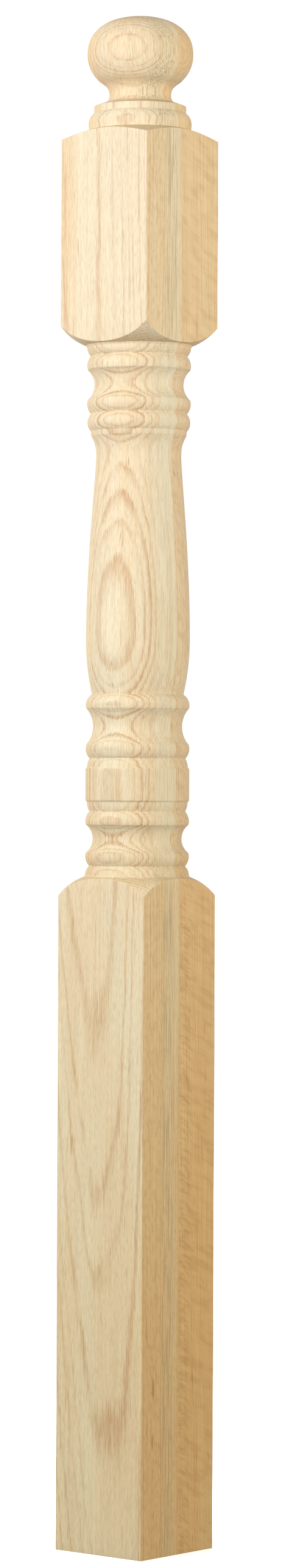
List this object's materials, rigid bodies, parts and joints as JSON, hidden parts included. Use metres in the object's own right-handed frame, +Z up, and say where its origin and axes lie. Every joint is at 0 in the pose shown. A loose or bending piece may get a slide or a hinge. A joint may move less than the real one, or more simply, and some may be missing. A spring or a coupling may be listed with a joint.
{
  "type": "newel post",
  "caption": "Turned oak stair newel post with a ball top, square rail block, beaded vase turning and a long square base.",
  "frame": {"origin": "middle of the flat-cut underside", "axes": "+Z up along the turning axis, X and Y square to the faces of the blocks"},
  "size_m": [0.0888, 0.0888, 1.2192],
  "materials": {
    "red_oak": "raw sanded red oak, no stain or varnish: cream latewood, tan open-pored earlywood, dull surface"
  },
  "bodies": {
    "root": {"newel_post": "red_oak"}
  },
  "joints": []
}
